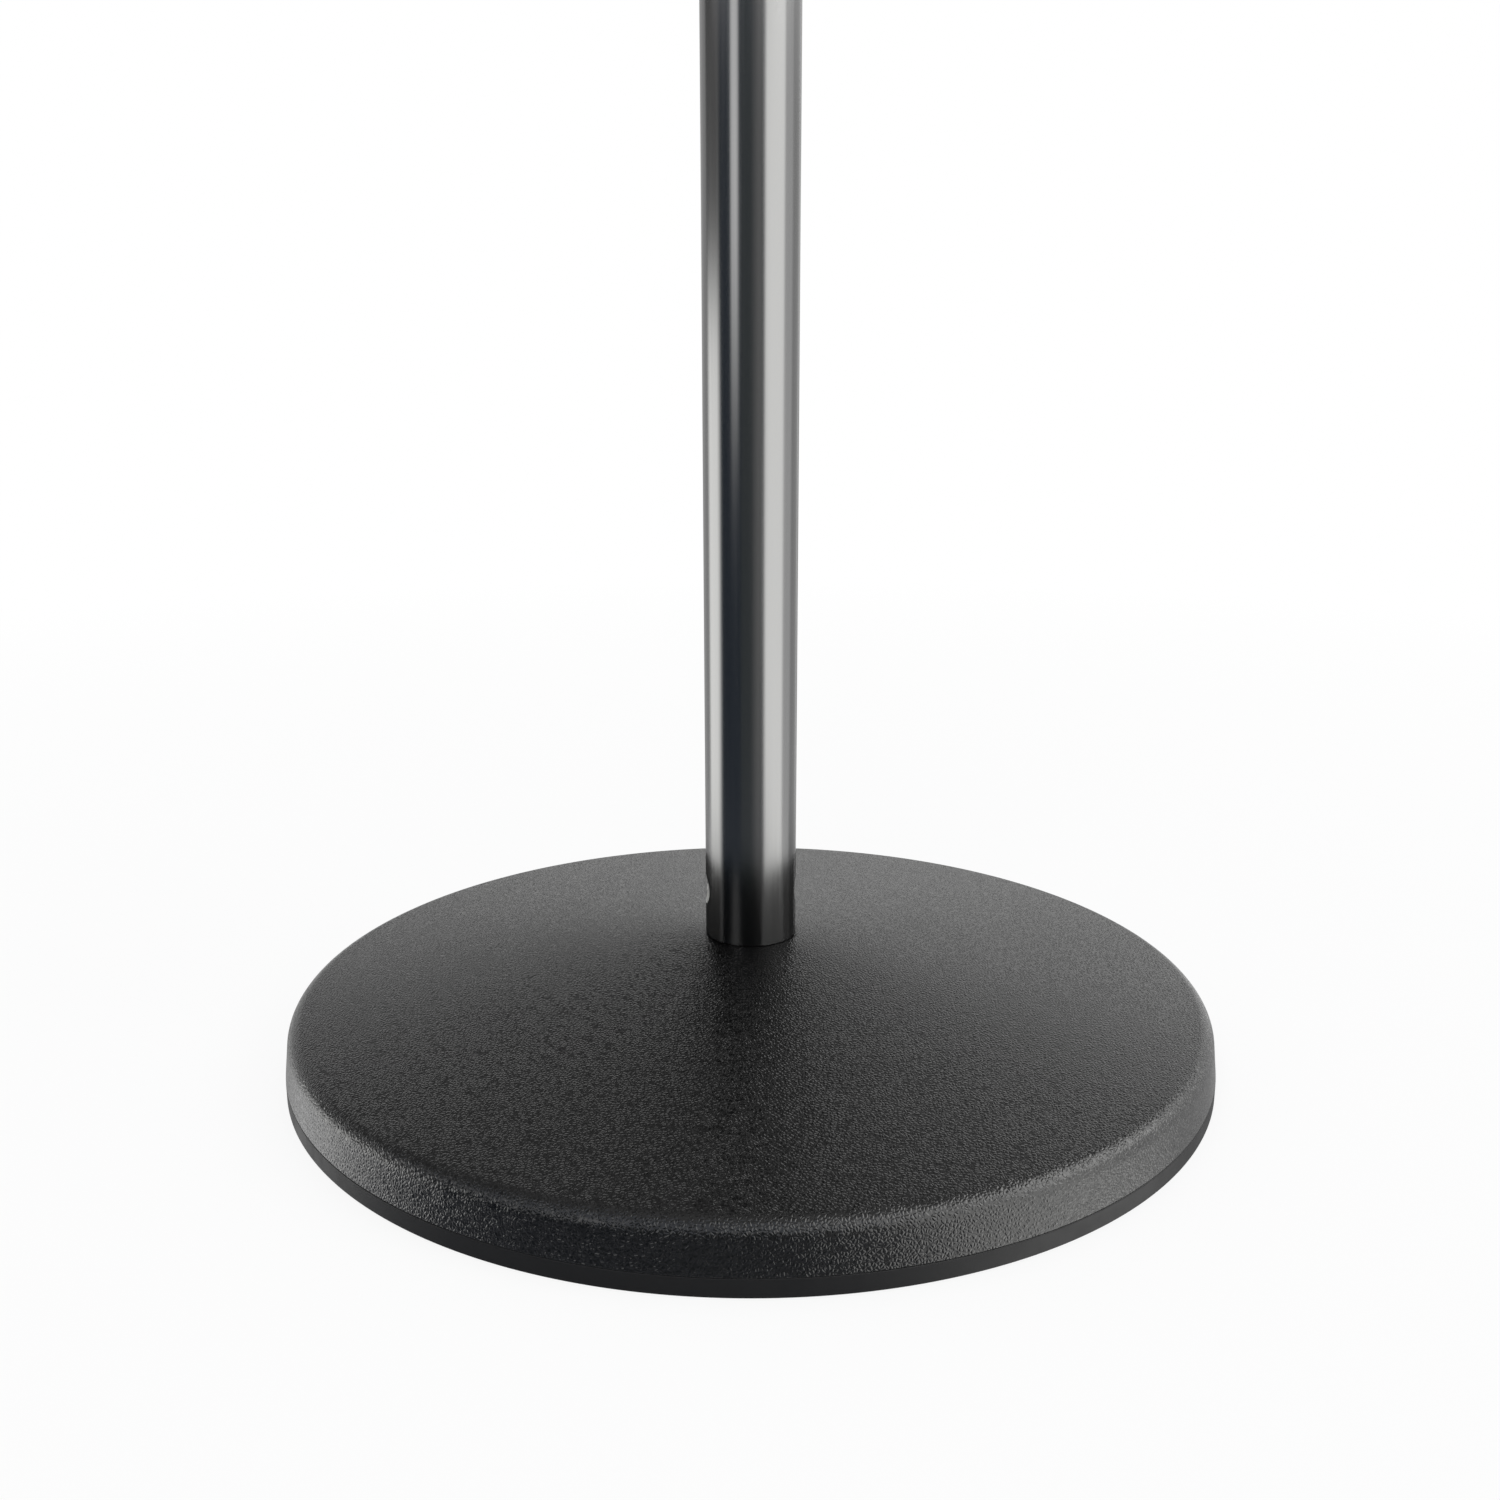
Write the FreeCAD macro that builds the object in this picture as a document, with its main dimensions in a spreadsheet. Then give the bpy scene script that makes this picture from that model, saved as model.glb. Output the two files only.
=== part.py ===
import FreeCAD, Part
import Sketcher
import math
import os
import re

# Round-base microphone stand, in millimetres. The floor is z = 0 and the stand's axis is Z.

# Driving dimensions: one cell of the sheet each, in millimetres, degrees or counts.
SIZES = {
    # Cast base
    "base_diameter": 254,
    "rim_height": 11.7,
    "rim_draft": 1.3,
    "rim_round": 4.6,
    "foot_height": 31.2,
    "seat_ledge": 0.4,
    "roof_thickness": 10,
    "rim_width": 17,
    "boss_diameter": 46,
    "boss_lift": 6,
    "cast_round": 2.5,
    # Rubber ring under the rim
    "ring_height": 4.5,
    "ring_width": 12,
    "ring_round": 0.8,
    "tongue_inset": 5,
    "tongue_width": 3,
    "tongue_height": 3.5,
    "tongue_gap": 0.1,
    # Lower tube and the plug in its foot
    "lower_tube_diameter": 25,
    "lower_tube_wall": 1.5,
    "lower_tube_length": 770,
    "bar_hole_diameter": 8,
    "bar_hole_height": 13,
    "bar_hole_turn": 5,
    "plug_length": 30,
    "spigot_diameter": 16,
    "spigot_length": 21,
    "spigot_chamfer": 1.5,
    # Clutch collar, bush and collet that stand on the lower tube
    "skirt_length": 22,
    "skirt_wall": 1.5,
    "rib_thickness": 2,
    "rib_gap": 0.7,
    "guide_length": 30,
    "guide_gap": 0.1,
    "collet_gap": 0.05,
    "collet_wall": 1.1,
    "collet_taper": 2,
    "collet_stand": 2,
    "cone_depth": 20,
    "cone_gap": 0.05,
    "slot_width": 1.6,
    "slot_depth": 16,
    "slot_count": 6,
    "clip_inset": 4,
    "clip_thickness": 1.2,
    "clip_depth": 0.8,
    "clip_stand": 1.2,
    "clip_opening": 40,
    "lead_chamfer": 0.6,
    # Clutch grip that turns on the collar
    "thrust_thickness": 2,
    "thrust_gap": 0.5,
    "nut_travel": 1.6,
    "nut_thread_length": 30,
    "nut_roof": 4,
    "nut_wall": 1.4,
    "nut_clearance": 0.4,
    "mouth_gap": 0.6,
    "grip_wall": 2.6,
    "grip_edge": 1.2,
    "lip_gap": 0.6,
    "lip_thickness": 3,
    "lip_drop": 3,
    "flute_count": 30,
    "flute_diameter": 3.2,
    "flute_depth": 0.8,
    "flute_end": 5,
    "cap_height": 5,
    "cap_chamfer": 1.2,
    # Upper tube and what is in its two ends
    "upper_tube_wall": 1.2,
    "upper_tube_length": 775,
    "rest_gap": 120,
    "bush_wall": 1.4,
    "bush_length": 40,
    "bush_play": 0.1,
    "slide_gap": 0.05,
    "turn_gap": 0.05,
    "flange_gap": 0.6,
    "flange_thickness": 4,
    "end_shank": 20,
    "retainer_depth": 0.5,
    "retainer_thickness": 1.2,
    "retainer_opening": 40,
    "bumper_diameter": 16,
    "bumper_height": 6,
    "stem_diameter": 6,
    "stem_length": 8,
    "head_shank": 25,
    "head_overhang": 1,
    "head_height": 6,
    "head_chamfer": 1,
    "stud_diameter": 9.525,
    "stud_length": 16,
    "stud_chamfer": 1.2,
    "root_diameter": 8,
    "root_length": 15,
    "pin_diameter": 3,
    "pin_wall": 0.5,
    "pin_slot": 0.5,
    "pin_drop": 12,
    "pin_recess": 0.3,
    # Clearances of pressed and screwed joints
    "press_gap": 0.02,
    "thread_gap": 0.08,
}

# Radii and heights that several pieces share, worked out from the driving dimensions.
PLACES = {
    # Base
    "base_r": "base_diameter / 2",
    "rim_top": "ring_height + rim_height",
    "rim_top_r": "base_r - rim_draft",
    "tube_r": "lower_tube_diameter / 2",
    "seat_r": "tube_r + seat_ledge",
    "dome_fall": "(foot_height - rim_top) / (rim_top_r - seat_r)",
    "rim_inner_r": "base_r - rim_width",
    "boss_r": "boss_diameter / 2",
    "roof_at_rim": "foot_height - roof_thickness - (rim_inner_r - seat_r) * dome_fall",
    "roof_at_boss": "foot_height - roof_thickness - (boss_r - seat_r) * dome_fall",
    "tongue_outer_r": "base_r - tongue_inset",
    "tongue_inner_r": "tongue_outer_r - tongue_width",
    "tongue_top": "ring_height + tongue_height",
    "spigot_r": "spigot_diameter / 2",
    # Tubes
    "tube_bore_r": "tube_r - lower_tube_wall",
    "tube_top": "foot_height + lower_tube_length",
    "plug_top": "foot_height + plug_length",
    "mast_r": "tube_bore_r - slide_gap - bush_wall - turn_gap",
    "mast_bore_r": "mast_r - upper_tube_wall",
    "flange_foot": "plug_top + rest_gap + bumper_height",
    "mast_foot": "flange_foot + flange_thickness",
    "mast_top": "mast_foot + upper_tube_length",
    "bush_foot": "mast_foot + bush_play",
    "bush_top": "bush_foot + bush_length",
    "retainer_foot": "bush_top + bush_play",
    "retainer_top": "retainer_foot + retainer_thickness",
    "flange_r": "tube_bore_r - flange_gap",
    "head_top": "mast_top + head_height",
    "pin_level": "mast_top - pin_drop",
    # Clutch
    "skirt_bore_r": "tube_r + press_gap",
    "thread_r": "skirt_bore_r + skirt_wall",
    "body_foot": "tube_top - skirt_length",
    "cone_foot": "tube_top + rib_thickness",
    "body_top": "cone_foot + cone_depth",
    "collet_bore_r": "mast_r + collet_gap",
    "collet_foot_r": "collet_bore_r + collet_wall",
    "collet_top_r": "collet_foot_r + collet_taper",
    "collet_top": "body_top + collet_stand",
    "clip_foot": "body_top - clip_inset",
    "clip_top": "clip_foot + clip_thickness",
    "clip_groove_r": "thread_r - clip_depth",
    "clip_outer_r": "thread_r + clip_stand",
    "thrust_top": "collet_top + thrust_thickness",
    "mouth_r": "mast_r + mouth_gap",
    "relief_r": "clip_outer_r + nut_clearance",
    "nut_bore_r": "thread_r + thread_gap",
    "nut_r": "relief_r + nut_wall",
    "nut_thread_top": "clip_foot - nut_travel",
    "nut_foot": "nut_thread_top - nut_thread_length",
    "nut_top": "thrust_top + nut_roof",
    "grip_r": "nut_r + grip_wall",
    "lip_r": "tube_r + lip_gap",
    "lip_top": "body_foot - lip_drop",
    "grip_foot": "lip_top - lip_thickness",
    "cap_top": "nut_top + cap_height",
}

doc = FreeCAD.newDocument("MicrophoneStand")


def cells(text, home=None):
    """The text as an expression: each size or place in it gets its sheet's name, unless that is home."""

    def with_sheet(word):
        name = word.group(0)
        sheet = "Sizes" if name in SIZES else "Places"
        return name if sheet == home else f"{sheet}.{name}"

    return re.sub(r"[a-z]+(_[a-z]+)+", with_sheet, text)


def sheet_of(name, rows):
    """A sheet with one row for each entry: its name, and its value in a cell that has the name as alias."""
    sheet = doc.addObject("Spreadsheet::Sheet", name)
    for row, (alias, value) in enumerate(rows.items(), 1):
        sheet.set(f"A{row}", alias)
        sheet.setAlias(f"B{row}", alias)
        formula = isinstance(value, str)
        sheet.set(f"B{row}", "=" + cells(value, name) if formula else str(value))
    doc.recompute()
    return sheet


sizes = sheet_of("Sizes", SIZES)
places = sheet_of("Places", PLACES)


def new_body(name):
    """An empty body whose label names its node."""
    body = doc.addObject("PartDesign::Body", name)
    body.Label = name
    return body


def sketch_on(body, name, role, lift="0"):
    """A sketch on the body's own origin plane of that role, lifted along the plane's normal."""
    sketch = body.newObject("Sketcher::SketchObject", name)
    plane = next(feature for feature in body.Origin.OriginFeatures if feature.Role == role)
    sketch.AttachmentSupport = [(plane, "")]
    sketch.MapMode = "FlatFace"
    sketch.setExpression("AttachmentOffset.Base.z", cells(lift))
    return sketch


def bind(sketch, constraint, name, text):
    """A constraint whose value follows the sheets."""
    index = sketch.addConstraint(constraint)
    sketch.renameConstraint(index, name)
    sketch.setExpression(f"Constraints.{name}", cells(text))


def draw_outline(sketch, corners):
    """A closed polygon. Each corner is (across, up), its distances from the sketch's origin."""
    count = len(corners)
    # The lines start out on a circle, and the constraints then bring each corner to its place.
    turns = [2 * math.pi * n / count for n in range(count)]
    spots = [FreeCAD.Vector(math.cos(turn), math.sin(turn), 0) for turn in turns]
    for n in range(count):
        sketch.addGeometry(Part.LineSegment(spots[n], spots[(n + 1) % count]))
    for n, (across, up) in enumerate(corners):
        sketch.addConstraint(Sketcher.Constraint("Coincident", n - 1 if n else count - 1, 2, n, 1))
        if across == "0":
            sketch.addConstraint(Sketcher.Constraint("PointOnObject", n, 1, -2))
        else:
            bind(sketch, Sketcher.Constraint("DistanceX", -1, 1, n, 1, 1.0), f"across_{n}", across)
        if up == "0":
            sketch.addConstraint(Sketcher.Constraint("PointOnObject", n, 1, -1))
        else:
            bind(sketch, Sketcher.Constraint("DistanceY", -1, 1, n, 1, 1.0), f"up_{n}", up)


def draw_circle(sketch, name, radius, across="0", up="0"):
    """A circle whose centre is (across, up) from the sketch's origin."""
    centre = FreeCAD.Vector(0 if across == "0" else 1, 0 if up == "0" else 1, 0)
    circle = sketch.addGeometry(Part.Circle(centre, FreeCAD.Vector(0, 0, 1), 1.0))
    if across == "0":
        sketch.addConstraint(Sketcher.Constraint("PointOnObject", circle, 3, -2))
    else:
        bind(sketch, Sketcher.Constraint("DistanceX", -1, 1, circle, 3, 1.0), f"{name}_across", across)
    if up == "0":
        sketch.addConstraint(Sketcher.Constraint("PointOnObject", circle, 3, -1))
    else:
        bind(sketch, Sketcher.Constraint("DistanceY", -1, 1, circle, 3, 1.0), f"{name}_up", up)
    bind(sketch, Sketcher.Constraint("Radius", circle, 1.0), f"{name}_radius", radius)


def turned(name, corners, sweep="360"):
    """A turned piece: an outline of (radius, height) corners carried round the Z axis."""
    body = new_body(name)
    sketch = sketch_on(body, f"{name}_outline", "XZ_Plane")
    draw_outline(sketch, corners)
    turn = body.newObject("PartDesign::Revolution", f"{name}_turn")
    turn.Profile = sketch
    turn.ReferenceAxis = (sketch, ["V_Axis"])
    turn.setExpression("Angle", cells(sweep))
    doc.recompute()
    return body


def tube(name, outer, bore, foot, length):
    """A drawn tube that stands on the height foot."""
    body = new_body(name)
    sketch = sketch_on(body, f"{name}_section", "XY_Plane", foot)
    draw_circle(sketch, "outer", outer)
    draw_circle(sketch, "bore", bore)
    pad = body.newObject("PartDesign::Pad", f"{name}_length")
    pad.Profile = sketch
    pad.setExpression("Length", cells(length))
    doc.recompute()
    return body


def check_cut(body, before):
    """Stop if the last feature took nothing off the body."""
    doc.recompute()
    if body.Shape.Volume > before - 1e-3:
        raise RuntimeError(f"{body.Tip.Name} cuts nothing")


def cross_hole(body, role, radius, height):
    """A hole right through the piece, square to the origin plane of that role, at a height on the axis."""
    before = body.Shape.Volume
    sketch = sketch_on(body, f"{body.Name}_hole", role)
    draw_circle(sketch, "hole", radius, up=height)
    pocket = body.newObject("PartDesign::Pocket", f"{body.Name}_drill")
    pocket.Profile = sketch
    pocket.Type = "ThroughAll"
    pocket.SideType = "Symmetric"
    check_cut(body, before)


def pocket_down(body, sketch, depth):
    """A pocket from a level sketch downwards."""
    pocket = body.newObject("PartDesign::Pocket", f"{sketch.Name}_cut")
    pocket.Profile = sketch
    pocket.setExpression("Length", cells(depth))
    return pocket


def pattern_round(body, feature, count):
    """Copies of a feature spaced evenly round the Z axis."""
    pattern = body.newObject("PartDesign::PolarPattern", f"{feature.Name}_copies")
    pattern.Originals = [feature]
    pattern.Axis = (feature.Profile[0], ["N_Axis"])
    pattern.Angle = 360
    pattern.setExpression("Occurrences", cells(count))
    body.Tip = pattern


def value(name):
    """The number that a size or a place has now."""
    return getattr(sizes if name in SIZES else places, name)


def fillet(body, spots, radius):
    """Round the body's circular edges at the (radius, height) spots."""
    names = []
    for number, edge in enumerate(body.Shape.Edges, 1):
        curve = edge.Curve
        for spot_r, spot_z in spots:
            at_spot = isinstance(curve, Part.Circle) and math.isclose(curve.Radius, spot_r, abs_tol=1e-4)
            if at_spot and math.isclose(curve.Center.z, spot_z, abs_tol=1e-4):
                names.append(f"Edge{number}")
    rounding = body.newObject("PartDesign::Fillet", f"{body.Name}_round_{len(body.Group)}")
    rounding.Base = (body.Group[-2], names)
    rounding.setExpression("Radius", cells(radius))
    doc.recompute()


# The base: a hollow cast cone and the rubber ring that it stands on


def make_base_casting():
    """The dome above, the roof and the boss below, and a groove for the rubber ring's tongue."""
    socket_r = "spigot_r + thread_gap"
    groove_outer_r = "tongue_outer_r + tongue_gap"
    groove_inner_r = "tongue_inner_r - tongue_gap"
    groove_top = "tongue_top + tongue_gap"
    body = turned("base_casting", [
        ("base_r", "ring_height"),
        ("rim_top_r", "rim_top"),
        ("seat_r", "foot_height"),
        (socket_r, "foot_height"),
        (socket_r, "boss_lift"),
        ("boss_r", "boss_lift"),
        ("boss_r", "roof_at_boss"),
        ("rim_inner_r", "roof_at_rim"),
        ("rim_inner_r", "ring_height"),
        (groove_inner_r, "ring_height"),
        (groove_inner_r, groove_top),
        (groove_outer_r, groove_top),
        (groove_outer_r, "ring_height"),
    ])
    fillet(body, [(value("rim_top_r"), value("rim_top"))], "min(rim_round; rim_height)")
    roof_corners = [(value("boss_r"), value("roof_at_boss")), (value("rim_inner_r"), value("roof_at_rim"))]
    fillet(body, roof_corners, "min(cast_round; (roof_at_rim - ring_height) * 0.8)")
    return body


def make_rubber_foot_ring():
    """Flat ring flush with the rim, with a tongue that is pressed up into the casting's groove."""
    inner_r = "base_r - ring_width"
    body = turned("rubber_foot_ring", [
        ("base_r", "0"),
        ("base_r", "ring_height"),
        ("tongue_outer_r", "ring_height"),
        ("tongue_outer_r", "tongue_top"),
        ("tongue_inner_r", "tongue_top"),
        ("tongue_inner_r", "ring_height"),
        (inner_r, "ring_height"),
        (inner_r, "0"),
    ])
    fillet(body, [(value("base_r"), 0)], "ring_round")
    return body


# The lower tube, which a bar through its cross hole screws tight into the base


def turn_to_bar_hole(body):
    """Turn a piece about the stand's axis, so that its cross hole points where the bar goes in."""
    body.Placement.Rotation = FreeCAD.Rotation(FreeCAD.Vector(0, 0, 1), 1)
    body.setExpression("Placement.Rotation.Angle", cells("bar_hole_turn"))


def make_foot_plug():
    """Steel plug pressed into the tube's foot; its spigot stands for the thread at its major diameter."""
    spigot_foot = "foot_height - spigot_length"
    plug_r = "tube_bore_r - press_gap"
    body = turned("foot_plug", [
        ("0", spigot_foot),
        ("spigot_r - spigot_chamfer", spigot_foot),
        ("spigot_r", f"{spigot_foot} + spigot_chamfer"),
        ("spigot_r", "foot_height"),
        (plug_r, "foot_height"),
        (plug_r, "plug_top"),
        ("0", "plug_top"),
    ])
    cross_hole(body, "YZ_Plane", "bar_hole_diameter / 2", "foot_height + bar_hole_height")
    turn_to_bar_hole(body)
    return body


def make_lower_tube():
    """Plated tube that stands on the casting's seat, with the bar's hole through both walls."""
    body = tube("lower_tube", "tube_r", "tube_bore_r", "foot_height", "lower_tube_length")
    cross_hole(body, "YZ_Plane", "bar_hole_diameter / 2", "foot_height + bar_hole_height")
    turn_to_bar_hole(body)
    return body


# The standing half of the clutch, on the mouth of the lower tube


def make_clutch_body():
    """Threaded collar over the tube's mouth, with the collet's cone inside and the spring ring's groove."""
    cone_foot_r = "collet_foot_r + cone_gap"
    cone_top_r = "collet_top_r + cone_gap"
    rib_r = "mast_r + rib_gap"
    return turned("clutch_body", [
        ("skirt_bore_r", "body_foot"),
        ("thread_r - lead_chamfer", "body_foot"),
        ("thread_r", "body_foot + lead_chamfer"),
        ("thread_r", "clip_foot"),
        ("clip_groove_r", "clip_foot"),
        ("clip_groove_r", "clip_top"),
        ("thread_r", "clip_top"),
        ("thread_r", "body_top - lead_chamfer"),
        ("thread_r - lead_chamfer", "body_top"),
        (cone_top_r, "body_top"),
        (cone_foot_r, "cone_foot"),
        (rib_r, "cone_foot"),
        (rib_r, "tube_top"),
        ("skirt_bore_r", "tube_top"),
    ])


def make_guide_bush():
    """Plastic bush pressed into the tube's mouth; its lower end stops the upper tube's spring ring."""
    outer_r = "tube_bore_r - press_gap"
    bore_r = "mast_r + guide_gap"
    foot = "tube_top - guide_length"
    return turned("guide_bush", [
        (f"{bore_r} + lead_chamfer", foot),
        (outer_r, foot),
        (outer_r, "tube_top"),
        (bore_r, "tube_top"),
        (bore_r, f"{foot} + lead_chamfer"),
    ])


def make_collet():
    """Plastic cone in the collar, slotted from the top so that it closes on the upper tube."""
    body = turned("collet", [
        ("collet_bore_r", "cone_foot"),
        ("collet_foot_r", "cone_foot"),
        ("collet_top_r", "body_top"),
        ("collet_top_r", "collet_top"),
        ("collet_bore_r", "collet_top"),
    ])
    before = body.Shape.Volume
    sketch = sketch_on(body, "collet_slot", "XY_Plane", "collet_top")
    draw_outline(sketch, [
        ("0", "slot_width / 2"),
        ("0", "-slot_width / 2"),
        ("thread_r", "-slot_width / 2"),
        ("thread_r", "slot_width / 2"),
    ])
    slot = pocket_down(body, sketch, "slot_depth")
    check_cut(body, before)
    pattern_round(body, slot, "slot_count")
    return body


def make_retaining_ring():
    """Open spring ring in the collar's groove, which stops the nut when it is unscrewed."""
    inner_r = "clip_groove_r + press_gap"
    foot = "clip_foot + press_gap"
    top = "clip_top - press_gap"
    ring = [(inner_r, foot), ("clip_outer_r", foot), ("clip_outer_r", top), (inner_r, top)]
    return turned("retaining_ring", ring, "360 - clip_opening")


# The turning half of the clutch


def make_thrust_ring():
    """Plastic ring on the collet that the turning nut presses down."""
    inner_r = "mouth_r"
    outer_r = "relief_r - thrust_gap"
    return turned("thrust_ring", [
        (inner_r, "collet_top"),
        (outer_r, "collet_top"),
        (outer_r, "thrust_top"),
        (inner_r, "thrust_top"),
    ])


def make_grip_nut():
    """Brass nut: thread below, a relief round the spring ring, and a roof that bears on the thrust ring."""
    return turned("grip_nut", [
        ("nut_bore_r", "nut_foot"),
        ("nut_r", "nut_foot"),
        ("nut_r", "nut_top"),
        ("mouth_r", "nut_top"),
        ("mouth_r", "thrust_top"),
        ("relief_r", "thrust_top"),
        ("relief_r", "nut_thread_top"),
        ("nut_bore_r", "nut_thread_top"),
    ])


def make_grip_sleeve():
    """Moulded hand grip over the nut, fluted outside, with a lip round the tube at its foot."""
    seat_r = "nut_r + press_gap"
    skirt_r = "thread_r + nut_clearance"
    body = turned("grip_sleeve", [
        ("lip_r", "grip_foot"),
        ("grip_r - grip_edge", "grip_foot"),
        ("grip_r", "grip_foot + grip_edge"),
        ("grip_r", "nut_top"),
        (seat_r, "nut_top"),
        (seat_r, "nut_foot"),
        (skirt_r, "nut_foot"),
        (skirt_r, "lip_top"),
        ("lip_r", "lip_top"),
    ])
    before = body.Shape.Volume
    sketch = sketch_on(body, "grip_flute", "XY_Plane", "nut_top - flute_end")
    flute_r = "flute_diameter / 2"
    draw_circle(sketch, "flute", flute_r, across=f"grip_r + {flute_r} - flute_depth")
    flute = pocket_down(body, sketch, "nut_top - grip_foot - 2 * flute_end")
    check_cut(body, before)
    pattern_round(body, flute, "flute_count")
    return body


def make_grip_cap():
    """Trim ring that closes the top of the grip."""
    return turned("grip_cap", [
        ("mouth_r", "nut_top"),
        ("grip_r", "nut_top"),
        ("grip_r", "cap_top - cap_chamfer"),
        ("grip_r - cap_chamfer", "cap_top"),
        ("mouth_r", "cap_top"),
    ])


# The upper tube, which slides and turns in the lower one


def make_slide_bush():
    """Plastic sleeve round the foot of the upper tube that slides in the lower tube."""
    inner_r = "mast_r + turn_gap"
    outer_r = "tube_bore_r - slide_gap"
    return turned("slide_bush", [
        (inner_r, "bush_foot"),
        (outer_r, "bush_foot"),
        (outer_r, "bush_top"),
        (inner_r, "bush_top"),
    ])


def make_upper_tube():
    """Plated tube with a groove for its spring ring near the foot and a pin hole near the top."""
    body = tube("upper_tube", "mast_r", "mast_bore_r", "mast_foot", "upper_tube_length")
    before = body.Shape.Volume
    sketch = sketch_on(body, "upper_tube_groove", "XZ_Plane")
    draw_outline(sketch, [
        ("mast_r - retainer_depth", "retainer_foot"),
        ("mast_r + retainer_depth", "retainer_foot"),
        ("mast_r + retainer_depth", "retainer_top"),
        ("mast_r - retainer_depth", "retainer_top"),
    ])
    groove = body.newObject("PartDesign::Groove", "upper_tube_groove_cut")
    groove.Profile = sketch
    groove.ReferenceAxis = (sketch, ["V_Axis"])
    groove.Angle = 360
    check_cut(body, before)
    cross_hole(body, "XZ_Plane", "pin_diameter / 2", "pin_level")
    return body


def make_end_plug():
    """Plug in the foot of the upper tube; its flange carries the slide bush and the bumper."""
    shank_r = "mast_bore_r - press_gap"
    shank_top = "mast_foot + end_shank"
    stem_r = "stem_diameter / 2"
    stem_top = "flange_foot + stem_length + press_gap"
    return turned("end_plug", [
        (stem_r, "flange_foot"),
        ("flange_r", "flange_foot"),
        ("flange_r", "mast_foot"),
        (shank_r, "mast_foot"),
        (shank_r, shank_top),
        ("0", shank_top),
        ("0", stem_top),
        (stem_r, stem_top),
    ])


def make_bush_retainer():
    """Open spring ring in the upper tube's groove, above the slide bush."""
    inner_r = "mast_r - retainer_depth + press_gap"
    foot = "retainer_foot + press_gap"
    top = "retainer_top - press_gap"
    ring = [(inner_r, foot), ("flange_r", foot), ("flange_r", top), (inner_r, top)]
    return turned("bush_retainer", ring, "360 - retainer_opening")


def make_rubber_bumper():
    """Rubber cushion under the end plug, held by its stem."""
    bumper_foot = "flange_foot - bumper_height"
    bumper_r = "bumper_diameter / 2"
    stem_r = "stem_diameter / 2 - press_gap"
    stem_top = "flange_foot + stem_length"
    return turned("rubber_bumper", [
        ("0", bumper_foot),
        (bumper_r, bumper_foot),
        (bumper_r, "flange_foot"),
        (stem_r, "flange_foot"),
        (stem_r, stem_top),
        ("0", stem_top),
    ])


def make_head_plug():
    """Plated plug in the top of the upper tube, pinned across and bored for the stud's root."""
    shank_r = "mast_bore_r - press_gap"
    shank_foot = "mast_top - head_shank"
    head_r = "mast_r + head_overhang"
    root_r = "root_diameter / 2"
    root_foot = "head_top - root_length - press_gap"
    body = turned("head_plug", [
        ("0", shank_foot),
        (shank_r, shank_foot),
        (shank_r, "mast_top"),
        (head_r, "mast_top"),
        (head_r, "head_top - head_chamfer"),
        (f"{head_r} - head_chamfer", "head_top"),
        (root_r, "head_top"),
        (root_r, root_foot),
        ("0", root_foot),
    ])
    cross_hole(body, "XZ_Plane", "pin_diameter / 2", "pin_level")
    return body


def make_thread_stud():
    """Stud for the microphone clip: a plain cylinder at the thread's major diameter, on a pressed root."""
    root_r = "root_diameter / 2 - press_gap"
    root_foot = "head_top - root_length"
    stud_r = "stud_diameter / 2"
    stud_top = "head_top + stud_length"
    return turned("thread_stud", [
        ("0", root_foot),
        (root_r, root_foot),
        (root_r, "head_top"),
        (stud_r, "head_top"),
        (stud_r, f"{stud_top} - stud_chamfer"),
        (f"{stud_r} - stud_chamfer", stud_top),
        ("0", stud_top),
    ])


def make_spring_pin():
    """Rolled spring pin, slotted along its length, through the upper tube and the head plug."""
    outer_r = "pin_diameter / 2 - press_gap"
    body = new_body("spring_pin")
    sketch = sketch_on(body, "spring_pin_section", "XZ_Plane")
    draw_circle(sketch, "outer", outer_r, up="pin_level")
    draw_circle(sketch, "bore", f"{outer_r} - pin_wall", up="pin_level")
    pad = body.newObject("PartDesign::Pad", "spring_pin_length")
    pad.Profile = sketch
    pad.setExpression("Length", cells("2 * (mast_r - pin_recess)"))
    pad.SideType = "Symmetric"
    doc.recompute()
    before = body.Shape.Volume
    slot = sketch_on(body, "spring_pin_slot", "XZ_Plane")
    draw_outline(slot, [
        ("-pin_slot / 2", "pin_level"),
        ("pin_slot / 2", "pin_level"),
        ("pin_slot / 2", "pin_level + pin_diameter"),
        ("-pin_slot / 2", "pin_level + pin_diameter"),
    ])
    pocket = body.newObject("PartDesign::Pocket", "spring_pin_slot_cut")
    pocket.Profile = slot
    pocket.Type = "ThroughAll"
    pocket.SideType = "Symmetric"
    check_cut(body, before)
    return body


pieces = [
    make_base_casting(),
    make_rubber_foot_ring(),
    make_foot_plug(),
    make_lower_tube(),
    make_clutch_body(),
    make_guide_bush(),
    make_collet(),
    make_retaining_ring(),
    make_thrust_ring(),
    make_grip_nut(),
    make_grip_sleeve(),
    make_grip_cap(),
    make_slide_bush(),
    make_upper_tube(),
    make_end_plug(),
    make_bush_retainer(),
    make_rubber_bumper(),
    make_head_plug(),
    make_thread_stud(),
    make_spring_pin(),
]
doc.recompute()

failed = [thing.Name for thing in doc.Objects if {"Invalid", "Error"} & set(thing.State)]
if failed:
    raise RuntimeError(f"these did not compute: {failed}")
for piece in pieces:
    if piece.Shape.isNull() or not piece.Shape.isValid() or len(piece.Shape.Solids) != 1:
        raise RuntimeError(f"{piece.Label} is not one sound solid")

os.makedirs("parts", exist_ok=True)
for piece in pieces:
    piece.Shape.exportStep(f"parts/{piece.Label}.step")
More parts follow.
